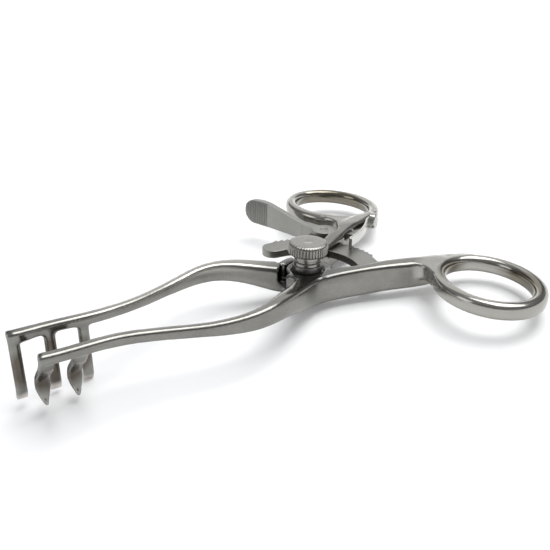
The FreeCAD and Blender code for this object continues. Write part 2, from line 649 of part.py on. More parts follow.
def make_thumb_screw():
    """Return the thumb screw as one turned piece."""
    profile = (
        (0, HEAD_TOP),
        (HEAD_RADIUS - HEAD_ROUND, HEAD_TOP),
        (HEAD_RADIUS, HEAD_TOP - HEAD_ROUND),
        (HEAD_RADIUS, HEAD_BOTTOM + HEAD_ROUND),
        (HEAD_RADIUS - HEAD_ROUND, HEAD_BOTTOM),
        (NECK_RADIUS, HEAD_BOTTOM),
        (NECK_RADIUS, NECK_BOTTOM + 1.4),
        (NECK_RADIUS - NECK_GROOVE, NECK_BOTTOM + 1.2),
        (NECK_RADIUS - NECK_GROOVE, NECK_BOTTOM + 0.9),
        (NECK_RADIUS, NECK_BOTTOM + 0.7),
        (NECK_RADIUS, NECK_BOTTOM),
        (JOURNAL_RADIUS, NECK_BOTTOM),
        (JOURNAL_RADIUS, -LAP_DEPTH + 0.1),
        (THREAD_RADIUS, -LAP_DEPTH + 0.1),
        (THREAD_RADIUS, THREAD_END + 0.3),
        (THREAD_RADIUS - 0.3, THREAD_END),
        (0, THREAD_END),
    )
    points = [Vector(radius, 0, level) for radius, level in profile]
    face = Part.Face(Part.makePolygon(points + [points[0]]))
    return face.revolve(Vector(0, 0, 0), Vector(0, 0, 1), 360)


def standing_placement(shapes):
    """Return the placement that stands the instrument on the origin plane."""
    drop = (RING_REST[1] - TIP_REST[1]) / (RING_REST[0] - TIP_REST[0])
    tilt = math.degrees(math.atan(drop))
    turn = FreeCAD.Placement(Vector(0, 0, 0), Rotation(Vector(0, 1, 0), tilt))
    tilted = Part.makeCompound([shape.copy() for shape in shapes])
    tilted = tilted.transformGeometry(turn.toMatrix())
    box = tilted.optimalBoundingBox(False)
    shift = Vector(-box.Center.x, -box.Center.y, -box.ZMin)
    return FreeCAD.Placement(shift, turn.Rotation), tilt


def main():
    """Build every piece, stand the instrument up and write one file for each piece."""
    os.makedirs("parts", exist_ok=True)
    pieces = {
        "near_arm": make_near_arm(),
        "far_arm": make_far_arm(),
        "ratchet_bar": make_ratchet_bar(),
        "ratchet_rivets": make_ratchet_rivets(),
        "pawl_lever": make_pawl_lever(),
        "pawl_pin": make_pawl_pin(),
        "leaf_spring": make_leaf_spring(),
        "spring_screw": make_spring_screw(),
        "screw_collar": make_collar(),
        "thumb_screw": make_thumb_screw(),
    }
    placement, tilt = standing_placement(list(pieces.values()))
    for name, shape in pieces.items():
        print(name, shape.isValid(), len(shape.Solids), round(shape.Volume, 1))
        placed = shape.copy()
        placed.Placement = placement.multiply(placed.Placement)
        placed.exportStep(os.path.join("parts", name + ".step"))
    print("tilt", round(tilt, 4))
    for label, at in (("pivot", (0, 0)), ("pawl pin", pawl_pin_at())):
        spot = placement.multVec(Vector(at[0], at[1], 0))
        print(label, [round(value, 4) for value in spot])
    axis = placement.Rotation.multVec(Vector(0, 0, 1))
    print("axis", [round(value, 6) for value in axis])


main()
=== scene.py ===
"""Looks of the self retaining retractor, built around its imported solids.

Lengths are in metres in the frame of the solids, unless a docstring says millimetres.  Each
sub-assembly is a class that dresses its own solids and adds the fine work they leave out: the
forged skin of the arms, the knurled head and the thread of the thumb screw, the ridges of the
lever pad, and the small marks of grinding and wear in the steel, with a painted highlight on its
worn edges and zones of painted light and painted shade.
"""
import json
import logging
import math
from dataclasses import dataclass
from enum import Enum
from typing import Callable, List, Sequence, Tuple, Union

import bmesh
import bpy
from mathutils import Matrix, Vector


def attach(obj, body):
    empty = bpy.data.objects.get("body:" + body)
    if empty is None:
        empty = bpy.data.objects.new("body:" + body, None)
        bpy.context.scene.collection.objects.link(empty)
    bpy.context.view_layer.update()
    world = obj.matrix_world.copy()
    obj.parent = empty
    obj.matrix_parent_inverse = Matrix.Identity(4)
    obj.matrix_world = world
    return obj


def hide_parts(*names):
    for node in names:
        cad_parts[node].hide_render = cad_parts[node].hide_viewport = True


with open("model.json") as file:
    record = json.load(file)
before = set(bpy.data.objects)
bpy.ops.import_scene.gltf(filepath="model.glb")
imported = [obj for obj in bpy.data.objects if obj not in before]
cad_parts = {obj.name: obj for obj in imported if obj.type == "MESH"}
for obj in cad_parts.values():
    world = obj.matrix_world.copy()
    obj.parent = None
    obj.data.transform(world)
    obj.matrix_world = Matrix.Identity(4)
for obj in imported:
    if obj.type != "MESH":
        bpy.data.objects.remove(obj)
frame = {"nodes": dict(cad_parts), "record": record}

Pair = Tuple[float, float]
Point = Tuple[float, float, float]
Colour = Tuple[float, float, float, float]
Tree = bpy.types.NodeTree
Socket = bpy.types.NodeSocket

LOG = logging.getLogger("retractor")
MM = 0.001
PHOTO_SIDE = 550.0

# Finger rings: middle of the far one in plan, in millimetres, and its turn in degrees
RING_CENTRE = (28.1, 28.65)
RING_TURN = -16.0
# Half height of a zone that holds at every level, in millimetres
ANY_LEVEL = 400.0

# Inputs and output of the colour mixing node, by place
MIX_SHARE, MIX_UNDER, MIX_OVER, MIX_RESULT = 0, 6, 7, 2
# Noises: scale for each metre where it is fixed, octaves, and the share that each octave keeps
MARKS = (3.0, 0.6)
SPECKLE = (3400.0, 2.0, 0.5)
PATCHES = (150.0, 4.0, 0.6)
BEVEL_SAMPLES = 8
WEAR_POLISH = -0.06
RELIEF_DEPTH = 0.00003


class Grain(Enum):
    """The direction in which a surface was brushed, as the stretch of its marks on each axis."""

    ALONG_ARM = (0.05, 1.0, 1.0)
    ROUND_BLAST = (1.0, 1.0, 1.0)
    ACROSS = (1.0, 0.06, 1.0)


def computed(tree: Tree, operation: str, *values: Union[Socket, float]) -> Socket:
    """Add one step of arithmetic to a node tree.

    Args:
        tree: Node tree that takes the step.
        operation: What the step does, such as ADD.
        values: Sockets or plain numbers that go in, in order.

    Returns:
        The socket with the result.
    """
    step = tree.nodes.new("ShaderNodeMath")
    step.operation = operation
    for entry, value in zip(step.inputs, values):
        if isinstance(value, float):
            entry.default_value = value
        else:
            tree.links.new(value, entry)
    return step.outputs[0]


def spanned(tree: Tree, value: Socket, source: Pair, target: Pair) -> Socket:
    """Map one range of a value onto another.

    Args:
        tree: Node tree that takes the step.
        value: Socket with the value.
        source: First and last value that come in.
        target: First and last value that go out.

    Returns:
        The socket with the mapped value.
    """
    span = tree.nodes.new("ShaderNodeMapRange")
    for name, number in zip(("From Min", "From Max", "To Min", "To Max"), (*source, *target)):
        span.inputs[name].default_value = number
    tree.links.new(value, span.inputs["Value"])
    return span.outputs["Result"]


def blended(tree: Tree, share: Socket, under: Union[Socket, Colour], over: Colour) -> Socket:
    """Lay a colour over another by a share.

    Args:
        tree: Node tree that takes the step.
        share: Socket with the share of the upper colour.
        under: Lower colour, as a socket or as it is.
        over: Upper colour.

    Returns:
        The socket with the mixed colour.
    """
    mix = tree.nodes.new("ShaderNodeMix")
    mix.data_type = "RGBA"
    tree.links.new(share, mix.inputs[MIX_SHARE])
    if isinstance(under, tuple):
        mix.inputs[MIX_UNDER].default_value = under
    else:
        tree.links.new(under, mix.inputs[MIX_UNDER])
    mix.inputs[MIX_OVER].default_value = over
    return mix.outputs[MIX_RESULT]


def reach_of(tree: Tree, place: Socket) -> Socket:
    """Measure how far a place lies from the origin.

    Args:
        tree: Node tree that takes the step.
        place: Socket with the place.

    Returns:
        The socket with the distance.
    """
    length = tree.nodes.new("ShaderNodeVectorMath")
    length.operation = "LENGTH"
    tree.links.new(place, length.inputs[0])
    return length.outputs["Value"]


@dataclass(frozen=True)
class Zone:
    """A region of a piece where the steel is toned apart by painted light and shade, such as the painted
    shade inside a finger ring.

    Attributes:
        centre: Middle of the region, in millimetres of the arms' frame.
        half_axes: Half axes of the ellipsoid that bounds it, in millimetres.
        reach: Shares of the half axes at which the tone is full and has faded out.
        tint: Colour of painted light and shade that the steel leans to there.
        amount: Share of that colour.
        polish: Change of roughness there.
        turn: Turn of the ellipsoid about the upright, in degrees.
        over_worn_highlit_edge: True where the tone also covers the worn edges and their painted highlight.
    """

    centre: Point
    half_axes: Point
    reach: Pair
    tint: Colour
    amount: float
    polish: float
    turn: float = 0.0
    over_worn_highlit_edge: bool = False

    def share(self, tree: Tree, place: Socket) -> Socket:
        """Return how far inside the zone the surface lies.

        Args:
            tree: Node tree of the material.
            place: Socket with the place in the arms' frame.

        Returns:
            The socket with the share of the zone's tint.
        """
        local = tree.nodes.new("ShaderNodeMapping")
        local.vector_type = "TEXTURE"
        local.inputs["Location"].default_value = [value * MM for value in self.centre]
        local.inputs["Rotation"].default_value = (0.0, 0.0, math.radians(self.turn))
        local.inputs["Scale"].default_value = [value * MM for value in self.half_axes]
        tree.links.new(place, local.inputs["Vector"])
        return spanned(tree, reach_of(tree, local.outputs["Vector"]), self.reach, (self.amount, 0.0))


@dataclass(frozen=True)
class Steel:
    """One finish of stainless steel.

    Attributes:
        name: Name of the material.
        tone: Base colour of the metal.
        shade: Darker colour that the patches lean to.
        roughness: Mean roughness of the surface.
        spread: Change in roughness between worn and fresh patches.
        grain: Direction of the brushed marks.
        grain_scale: Marks for each metre across the grain.
        relief: Strength of the fine bump.
        edge: Radius of the soft edge that light catches, in metres.
        worn_edge_highlight_tone: Colour of the steel on its worn, polished edges, lightened further as a
            painted highlight.
        wear_and_highlight_turn: Cosines of the edge's turn at which the wear and its painted highlight start
            and are full.
        zones: Regions that are toned apart by painted light and shade.
    """

    name: str
    tone: Colour
    shade: Colour
    roughness: float
    spread: float
    grain: Grain = Grain.ROUND_BLAST
    grain_scale: float = 5200.0
    relief: float = 0.10
    edge: float = 0.00028
    # Worn edges are lighter than the tone: wear, and a painted highlight along them
    worn_edge_highlight_tone: Colour = (0.50, 0.495, 0.48, 1)
    wear_and_highlight_turn: Pair = (0.985, 0.90)
    zones: Tuple[Zone, ...] = ()

    def material(self, arms: "StandingFrame") -> bpy.types.Material:
        """Build the node material of this finish, once.

        Args:
            arms: Frame of the arms' tops.

        Returns:
            The finished material.
        """
        found = bpy.data.materials.get(self.name)
        if found is not None:
            return found
        made = bpy.data.materials.new(self.name)
        made.use_nodes = True
        tree = made.node_tree
        tree.nodes.clear()
        out = tree.nodes.new("ShaderNodeOutputMaterial")
        shader = tree.nodes.new("ShaderNodeBsdfPrincipled")
        tree.links.new(shader.outputs["BSDF"], out.inputs["Surface"])
        shader.inputs["Metallic"].default_value = 1.0
        place = self._arms_place(tree, arms)
        stretch = tree.nodes.new("ShaderNodeMapping")
        stretch.inputs["Scale"].default_value = self.grain.value
        tree.links.new(place, stretch.inputs["Vector"])
        marks = self._noise(tree, stretch.outputs["Vector"], self.grain_scale, *MARKS)
        speckle = self._noise(tree, place, *SPECKLE)
        patches = self._noise(tree, place, *PATCHES)
        soft = tree.nodes.new("ShaderNodeBevel")
        soft.samples = BEVEL_SAMPLES
        soft.inputs["Radius"].default_value = self.edge
        worn = self._worn_and_highlit_edge(tree, soft.outputs["Normal"], patches)
        colour = self._colour(tree, marks, patches)
        rough = self._roughness(tree, marks, patches)
        # Painted light and shade of the zones, first those under the worn edges, then those over them
        colour, rough = self._toned(tree, place, colour, rough, False)
        # Worn edges, lightened to a painted highlight
        colour = blended(tree, worn, colour, self.worn_edge_highlight_tone)
        rough = computed(tree, "MULTIPLY_ADD", worn, WEAR_POLISH, rough)
        colour, rough = self._toned(tree, place, colour, rough, True)
        tree.links.new(colour, shader.inputs["Base Color"])
        tree.links.new(rough, shader.inputs["Roughness"])
        tree.links.new(self._bumped(tree, soft.outputs["Normal"], marks, speckle), shader.inputs["Normal"])
        return made

    @staticmethod
    def _arms_place(tree: Tree, arms: "StandingFrame") -> Socket:
        """Turn the place on the surface into the arms' own frame.

        Args:
            tree: Node tree of the material.
            arms: Frame of the arms' tops.

        Returns:
            The socket with the place, in metres.
        """
        place = tree.nodes.new("ShaderNodeTexCoord")
        level = tree.nodes.new("ShaderNodeMapping")
        level.vector_type = "TEXTURE"
        level.inputs["Location"].default_value = arms.pivot
        level.inputs["Rotation"].default_value = arms.matrix().to_euler()
        tree.links.new(place.outputs["Object"], level.inputs["Vector"])
        return level.outputs["Vector"]

    @staticmethod
    def _noise(tree: Tree, place: Socket, scale: float, octaves: float, kept: float) -> Socket:
        """Add one noise texture.

        Args:
            tree: Node tree of the material.
            place: Socket that gives the place on the surface.
            scale: Size of the noise, for each metre.
            octaves: Octaves of the noise.
            kept: Share that each octave keeps.

        Returns:
            The socket with the noise value.
        """
        noise = tree.nodes.new("ShaderNodeTexNoise")
        noise.inputs["Scale"].default_value = scale
        noise.inputs["Detail"].default_value = octaves
        noise.inputs["Roughness"].default_value = kept
        tree.links.new(place, noise.inputs["Vector"])
        return noise.outputs["Fac"]

    def _toned(self, tree: Tree, place: Socket, colour: Socket, rough: Socket,
               over_worn_highlit_edge: bool) -> Tuple[Socket, Socket]:
        """Lay the painted light and shade of the zones that lie under the worn, highlit edges, or of those
        that cover them.

        Args:
            tree: Node tree of the material.
            place: Socket with the place in the arms' frame.
            colour: Socket with the colour so far.
            rough: Socket with the roughness so far.
            over_worn_highlit_edge: True for the zones that cover the worn edges and their painted highlight.

        Returns:
            The sockets with the new colour and roughness.
        """
        for zone in self.zones:
            if zone.over_worn_highlit_edge == over_worn_highlit_edge:
                share = zone.share(tree, place)
                colour = blended(tree, share, colour, zone.tint)
                rough = computed(tree, "MULTIPLY_ADD", share, zone.polish / zone.amount, rough)
        return colour, rough

    def _worn_and_highlit_edge(self, tree: Tree, soft: Socket, patches: Socket) -> Socket:
        """Find the edges, where handling has polished the steel and where a painted highlight lightens it.

        Args:
            tree: Node tree of the material.
            soft: Socket with the softened normal.
            patches: Broad noise, which breaks the wear up.

        Returns:
            The socket with the share of wear and of painted highlight.
        """
        face = tree.nodes.new("ShaderNodeNewGeometry")
        turn = tree.nodes.new("ShaderNodeVectorMath")
        turn.operation = "DOT_PRODUCT"
        tree.links.new(face.outputs["Normal"], turn.inputs[0])
        tree.links.new(soft, turn.inputs[1])
        edge = spanned(tree, turn.outputs["Value"], self.wear_and_highlight_turn, (0.0, 1.0))
        return computed(tree, "MULTIPLY", edge, spanned(tree, patches, (0.35, 0.65), (0.35, 0.9)))

    def _colour(self, tree: Tree, marks: Socket, patches: Socket) -> Socket:
        """Mix the metal's two tones by patch and by brushed mark.

        Args:
            tree: Node tree of the material.
            marks: Noise along the grain.
            patches: Broad noise.

        Returns:
            The socket with the colour.
        """
        share = computed(tree, "ADD", spanned(tree, marks, (0.3, 0.7), (0.0, 0.45)),
                         spanned(tree, patches, (0.35, 0.7), (0.0, 0.55)))
        return blended(tree, share, self.tone, self.shade)

    def _roughness(self, tree: Tree, marks: Socket, patches: Socket) -> Socket:
        """Vary the roughness a little around its mean.

        Args:
            tree: Node tree of the material.
            marks: Noise along the grain.
            patches: Broad noise.

        Returns:
            The socket with the roughness.
        """
        half = self.spread / 2
        low = self.roughness - half
        return computed(tree, "ADD", spanned(tree, marks, (0.3, 0.7), (0.0, half)),
                        spanned(tree, patches, (0.3, 0.7), (low, low + half)))

    def _bumped(self, tree: Tree, soft: Socket, marks: Socket, speckle: Socket) -> Socket:
        """Add the fine bump of the brushed marks over softened edges.

        Args:
            tree: Node tree of the material.
            soft: Socket with the softened normal.
            marks: Noise along the grain.
            speckle: Fine even noise.

        Returns:
            The socket with the normal.
        """
        bump = tree.nodes.new("ShaderNodeBump")
        bump.inputs["Strength"].default_value = self.relief
        bump.inputs["Distance"].default_value = RELIEF_DEPTH
        tree.links.new(computed(tree, "ADD", marks, speckle), bump.inputs["Height"])
        tree.links.new(soft, bump.inputs["Normal"])
        return bump.outputs["Normal"]


# Colours that the zones lean to, all painted light and painted shade
# Painted shade inside the finger rings, where their inner walls reflect dark surroundings
RING_INSIDE_PAINTED_SHADE = (0.15, 0.13, 0.092, 1)
# Painted highlight on the curled, blunt ends of the far prongs
CURL_PAINTED_HIGHLIGHT = (0.62, 0.57, 0.53, 1)
# Painted shade in the narrow pockets beside the hub, between the arms
POCKET_PAINTED_SHADE = (0.022, 0.021, 0.02, 1)
# Painted shade on the lap's top round the pivot, under the thumb screw's head
LAP_PAINTED_SHADE = (0.105, 0.106, 0.104, 1)
# Painted shade on the broad faces of the prongs, where they reflect dark surroundings
PRONG_PAINTED_SHADE = (0.100, 0.083, 0.066, 1)
# Painted light on the far arm's top and on the faces of the finger rings
PALE_PAINTED_LIGHT = (0.44, 0.43, 0.395, 1)

# Zones of both arms and of one: painted shade on the lap and in the pockets by the hub, painted light on the
# far arm's top and the prongs' blunt ends
# Painted shade: the lap's top darker round the pivot
LAP_TOP_PAINTED_SHADE = Zone((1.0, 0.0, 0.0), (16.0, 12.0, 2.6), (0.30, 1.0), LAP_PAINTED_SHADE, amount=0.78, polish=0.05)
# Painted light: the far arm's top paler, as its lit face
FAR_ARM_TOP_PAINTED_LIGHT = Zone((-32.0, 9.0, 0.8), (30.0, 14.0, 2.4), (0.55, 1.0), PALE_PAINTED_LIGHT, amount=0.7, polish=0.0)
# Painted highlight: the blunt ends of the far prongs paler
BLUNT_ENDS_PAINTED_HIGHLIGHT = Zone((-58.5, 6.2, -16.4), (14.0, 5.0, 3.0), (0.62, 1.0), CURL_PAINTED_HIGHLIGHT, amount=0.85, polish=-0.02)
# Painted shade: near black in the far arm's pocket round the hub
FAR_POCKET_PAINTED_SHADE = Zone((0.0, 0.0, -2.9), (7.3, 7.3, 3.4), (0.90, 1.02), POCKET_PAINTED_SHADE, amount=0.94, polish=0.15,
                  over_worn_highlit_edge=True)
# Painted shade: near black on the wall of the near arm's hub
NEAR_HUB_WALL_PAINTED_SHADE = Zone((-1.2, 1.9, -3.0), (6.1, 5.6, 2.7), (0.88, 1.02), POCKET_PAINTED_SHADE, amount=0.94, polish=0.15,
                     over_worn_highlit_edge=True)


def painted_ring_inside_shade(side: float) -> Zone:
    """Return the painted shade inside one finger ring: a darker olive tone, on steel made more polished
    there.

    Args:
        side: 1 for the far ring, -1 for the near ring.

    Returns:
        The zone.
    """
    # Painted shade: the inside of the ring darker olive
    return Zone((RING_CENTRE[0], side * RING_CENTRE[1], 0.0), (8.7, 10.75, ANY_LEVEL), (1.02, 1.10), RING_INSIDE_PAINTED_SHADE,
                amount=0.75, polish=-0.10, turn=side * RING_TURN)


def painted_ring_light(side: float) -> Zone:
    """Return the painted light on the faces of one finger ring, which makes them paler.

    Args:
        side: 1 for the far ring, -1 for the near ring.

    Returns:
        The zone.
    """
    # Painted light: the ring's faces paler
    return Zone((RING_CENTRE[0], side * RING_CENTRE[1], 0.0), (13.6, 15.6, ANY_LEVEL), (0.98, 1.12), PALE_PAINTED_LIGHT,
                amount=0.62, polish=0.0, turn=side * RING_TURN)


def painted_prong_shade(row_y: float) -> Zone:
    """Return the painted shade on the faces of a row of prongs, a darker brown tone.

    Args:
        row_y: Place of the row across the instrument, in millimetres.

    Returns:
        The zone.
    """
    # Painted shade: the prongs' faces darker brown
    return Zone((-58.5, row_y, -8.6), (9.5, 7.0, 5.6), (0.80, 1.06), PRONG_PAINTED_SHADE, amount=0.85, polish=0.07)


SATIN_TONE = (0.27, 0.266, 0.247, 1)
SATIN_SHADE = (0.18, 0.177, 0.162, 1)


def arm_steel(name: str, *zones: Zone) -> Steel:
    """Return the brushed steel of one arm, bright along its worn edges, where a painted highlight is laid.

    Args:
        name: Name of the material.
        zones: Regions of that arm that are toned apart by painted light and shade.

    Returns:
        The finish.
    """
    # The pale edge tone paints the lamps' highlight lines along the arm's worn edges
    return Steel(name, SATIN_TONE, SATIN_SHADE, roughness=0.17, spread=0.09, grain=Grain.ALONG_ARM,
                 relief=0.17, edge=0.0010, worn_edge_highlight_tone=(0.78, 0.775, 0.75, 1), wear_and_highlight_turn=(0.98, 0.86),
                 zones=zones)


FAR_ARM = arm_steel("satin_steel_far", FAR_ARM_TOP_PAINTED_LIGHT, LAP_TOP_PAINTED_SHADE, FAR_POCKET_PAINTED_SHADE, painted_ring_light(1.0), painted_ring_inside_shade(1.0),
                    painted_prong_shade(5.0), BLUNT_ENDS_PAINTED_HIGHLIGHT)
NEAR_ARM = arm_steel("satin_steel_near", LAP_TOP_PAINTED_SHADE, NEAR_HUB_WALL_PAINTED_SHADE, painted_ring_light(-1.0), painted_ring_inside_shade(-1.0),
                     painted_prong_shade(-3.0))
SATIN = Steel("filed_steel", SATIN_TONE, SATIN_SHADE, roughness=0.30, spread=0.08, edge=0.0002)
BLASTED = Steel("blasted_steel", (0.315, 0.314, 0.298, 1), (0.24, 0.237, 0.222, 1), roughness=0.38,
                spread=0.08, relief=0.2)
# A lighter copy of the polished steel: painted light on the leaf spring's lit face
LIT_LEAF_STEEL = Steel("lit_leaf_steel", (0.66, 0.655, 0.63, 1), (0.50, 0.495, 0.47, 1), roughness=0.30, spread=0.08,
             relief=0.05)
BRIGHT = Steel("polished_steel", (0.42, 0.415, 0.39, 1), (0.30, 0.295, 0.28, 1), roughness=0.20,
               spread=0.06, relief=0.05)
GROUND = Steel("ground_steel", (0.29, 0.286, 0.266, 1), (0.20, 0.197, 0.182, 1), roughness=0.30,
               spread=0.08, grain=Grain.ACROSS, relief=0.16)
DULL = Steel("dull_steel", (0.24, 0.235, 0.22, 1), (0.16, 0.155, 0.145, 1), roughness=0.34, spread=0.08,
             edge=0.00008)
TURNED = Steel("turned_steel", (0.31, 0.305, 0.285, 1), (0.24, 0.235, 0.215, 1), roughness=0.27,
               spread=0.06, edge=0.00008)


@dataclass
class StandingFrame:
    """The frame of the arms' flat tops, as it lies in the frame of the solids.

    Attributes:
        pivot: Place of the pivot axis at the level of the arms' tops.
        axis: Direction of the pivot axis.
    """

    pivot: Vector
    axis: Vector

    @classmethod
    def from_joints(cls, joints: Sequence[dict]) -> "StandingFrame":
        """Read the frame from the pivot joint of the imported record.

        Args:
            joints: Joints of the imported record.

        Returns:
            The frame of the arms' tops.
        """
        pivot = next(joint for joint in joints if joint["name"] == "arm_pivot")
        return cls(Vector(pivot["pos_m"]), Vector(pivot["axis"]).normalized())

    def matrix(self) -> Matrix:
        """Return the placement that carries a point of the arms' frame into the solids' frame."""
        along = Vector((self.axis.z, 0.0, -self.axis.x))
        turn = Matrix((along, self.axis.cross(along), self.axis)).transposed().to_4x4()
        return Matrix.Translation(self.pivot) @ turn


def new_object(name: str, mesh: bmesh.types.BMesh, finish: Steel, arms: "StandingFrame",
               smooth_deg: float = 35.0) -> bpy.types.Object:
    """Turn a mesh into a shown object with its finish.

    Args:
        name: Name of the piece.
        mesh: Mesh in millimetres of the arms' frame. It is freed here.
        finish: Finish of the piece.
        arms: Frame of the arms' tops.
        smooth_deg: Edges flatter than this many degrees are shaded smooth.

    Returns:
        The new object.
    """
    data = bpy.data.meshes.new(name)
    mesh.transform(arms.matrix() @ Matrix.Scale(MM, 4))
    bmesh.ops.recalc_face_normals(mesh, faces=mesh.faces)
    limit = math.radians(smooth_deg)
    for face in mesh.faces:
        face.smooth = True
    for edge in mesh.edges:
        edge.smooth = len(edge.link_faces) == 2 and edge.calc_face_angle(0.0) < limit
    mesh.to_mesh(data)
    mesh.free()
    made = bpy.data.objects.new(name, data)
    bpy.context.scene.collection.objects.link(made)
    data.materials.append(finish.material(arms))
    return made


def dress(node: str, finish: Steel, arms: "StandingFrame") -> None:
    """Give one carried solid its finish.

    Args:
        node: Name of the solid's node.
        finish: Finish to give it.
        arms: Frame of the arms' tops.
    """
    solid = frame["nodes"][node]
    material = finish.material(arms)
    if not solid.material_slots:
        solid.data.materials.append(material)
    for holder in solid.material_slots:
        holder.material = material


def prism(mesh: bmesh.types.BMesh, outline: Sequence[Pair], low: float, high: float) -> None:
    """Stand a closed outline up between two levels.

    Args:
        mesh: Mesh that takes the prism, in millimetres of the arms' frame.
        outline: Corners in plan, in order.
        low: Lower level.
        high: Upper level.
    """
    lower = [mesh.verts.new((x, y, low)) for x, y in outline]
    upper = [mesh.verts.new((x, y, high)) for x, y in outline]
    mesh.faces.new(list(reversed(lower)))
    mesh.faces.new(upper)
    for index in range(len(outline)):
        after = (index + 1) % len(outline)
        mesh.faces.new((lower[index], lower[after], upper[after], upper[index]))


def sector(inner: float, outer: float, start: float, end: float, steps: int = 24) -> List[Pair]:
    """Return the plan outline of a sector of a ring about the pivot.

    Args:
        inner: Inner radius in millimetres.
        outer: Outer radius in millimetres.
        start: First angle in degrees.
        end: Last angle in degrees.
        steps: Corners along each arc.

    Returns:
        The corners in order.
    """
    turns = [math.radians(start + (end - start) * index / steps) for index in range(steps + 1)]
    outside = [(outer * math.cos(turn), outer * math.sin(turn)) for turn in turns]
    inside = [(inner * math.cos(turn), inner * math.sin(turn)) for turn in reversed(turns)]
    return outside + inside


@dataclass(frozen=True)
class Segment:
    """An upright piece of a round wall about the pivot.

    Attributes:
        radii: Inner and outer radius in millimetres.
        turns: First and last angle in degrees.
        levels: Lower and upper level in millimetres.
    """

    radii: Pair
    turns: Pair
    levels: Pair

    def stand(self, mesh: bmesh.types.BMesh) -> None:
        """Stand the piece up in a mesh.

        Args:
            mesh: Mesh that takes it, in millimetres of the arms' frame.
        """
        prism(mesh, sector(*self.radii, *self.turns), *self.levels)


@dataclass
class Forging:
    """Turns the plain solid of an arm into a forged one: blended, filed and softened.

    Attributes:
        grid: Size of the mesh's squares, in millimetres.
        passes: Softening passes.
        pull: Share of the way that each pass moves the skin.
    """

    grid: float = 0.27
    passes: int = 24
    pull: float = 0.5

    @staticmethod
    def carrier(name: str, mesh: bmesh.types.BMesh) -> bpy.types.Object:
        """Put a mesh on an object that only carries modifiers for a while.

        Args:
            name: Name of the object.
            mesh: Its mesh. It is freed here.

        Returns:
            The object.
        """
        data = bpy.data.meshes.new(name)
        bmesh.ops.recalc_face_normals(mesh, faces=mesh.faces)
        mesh.to_mesh(data)
        mesh.free()
        holder = bpy.data.objects.new(name, data)
        bpy.context.scene.collection.objects.link(holder)
        return holder

    @staticmethod
    def discard(holder: bpy.types.Object) -> None:
        """Remove a carrier and its mesh.

        Args:
            holder: The carrier.
        """
        bare = holder.data
        bpy.data.objects.remove(holder)
        bpy.data.meshes.remove(bare)

    @staticmethod
    def taken(holder: bpy.types.Object) -> bmesh.types.BMesh:
        """Take the shaped mesh off its carrier and remove the carrier.

        Args:
            holder: Object with its modifiers.

        Returns:
            The shaped mesh.
        """
        bpy.context.view_layer.update()
        shaped = bpy.data.meshes.new_from_object(holder.evaluated_get(bpy.context.evaluated_depsgraph_get()))
        mesh = bmesh.new()
        mesh.from_mesh(shaped)
        bpy.data.meshes.remove(shaped)
        Forging.discard(holder)
        return mesh

    def cut(self, mesh: bmesh.types.BMesh, cutter: bmesh.types.BMesh) -> bmesh.types.BMesh:
        """Cut one mesh with another.

        Args:
            mesh: Mesh to cut.
            cutter: Closed mesh that is taken away.

        Returns:
            The mesh that is left.
        """
        tool = self.carrier("cutting_form", cutter)
        holder = self.carrier("cut_form", mesh)
        change = holder.modifiers.new("cut", "BOOLEAN")
        change.operation = "DIFFERENCE"
        change.solver = "EXACT"
        change.object = tool
        left = self.taken(holder)
        self.discard(tool)
        return left

    def forged(self, mesh: bmesh.types.BMesh, softness: Callable[[Vector], float]) -> bmesh.types.BMesh:
        """Join everything in a mesh into one skin and soften it by place.

        Args:
            mesh: Closed forms, which may overlap.
            softness: Gives the share of softening at a place.

        Returns:
            The forged mesh.
        """
        holder = self.carrier("forging", mesh)
        skin = holder.modifiers.new("skin", "REMESH")
        skin.mode = "VOXEL"
        skin.voxel_size = self.grid
        whole = self.taken(holder)
        shares = [softness(vert.co) for vert in whole.verts]
        holder = self.carrier("softening", whole)
        group = holder.vertex_groups.new(name="soft")
        for index, share in enumerate(shares):
            group.add([index], share, "REPLACE")
        filed = holder.modifiers.new("filed", "SMOOTH")
        filed.factor = self.pull
        filed.iterations = self.passes
        filed.vertex_group = group.name
        return self.taken(holder)


def fade(value: float, full: float, none: float) -> float:
    """Return 1 at one value and 0 at another, with an even change between them.

    Args:
        value: Value to judge.
        full: Value where the share is 1.
        none: Value where the share is 0.

    Returns:
        The share.
    """
    return min(max((value - none) / (full - none), 0.0), 1.0)


# Points of a copied solid closer than this are one, in millimetres
WELD = 0.0005


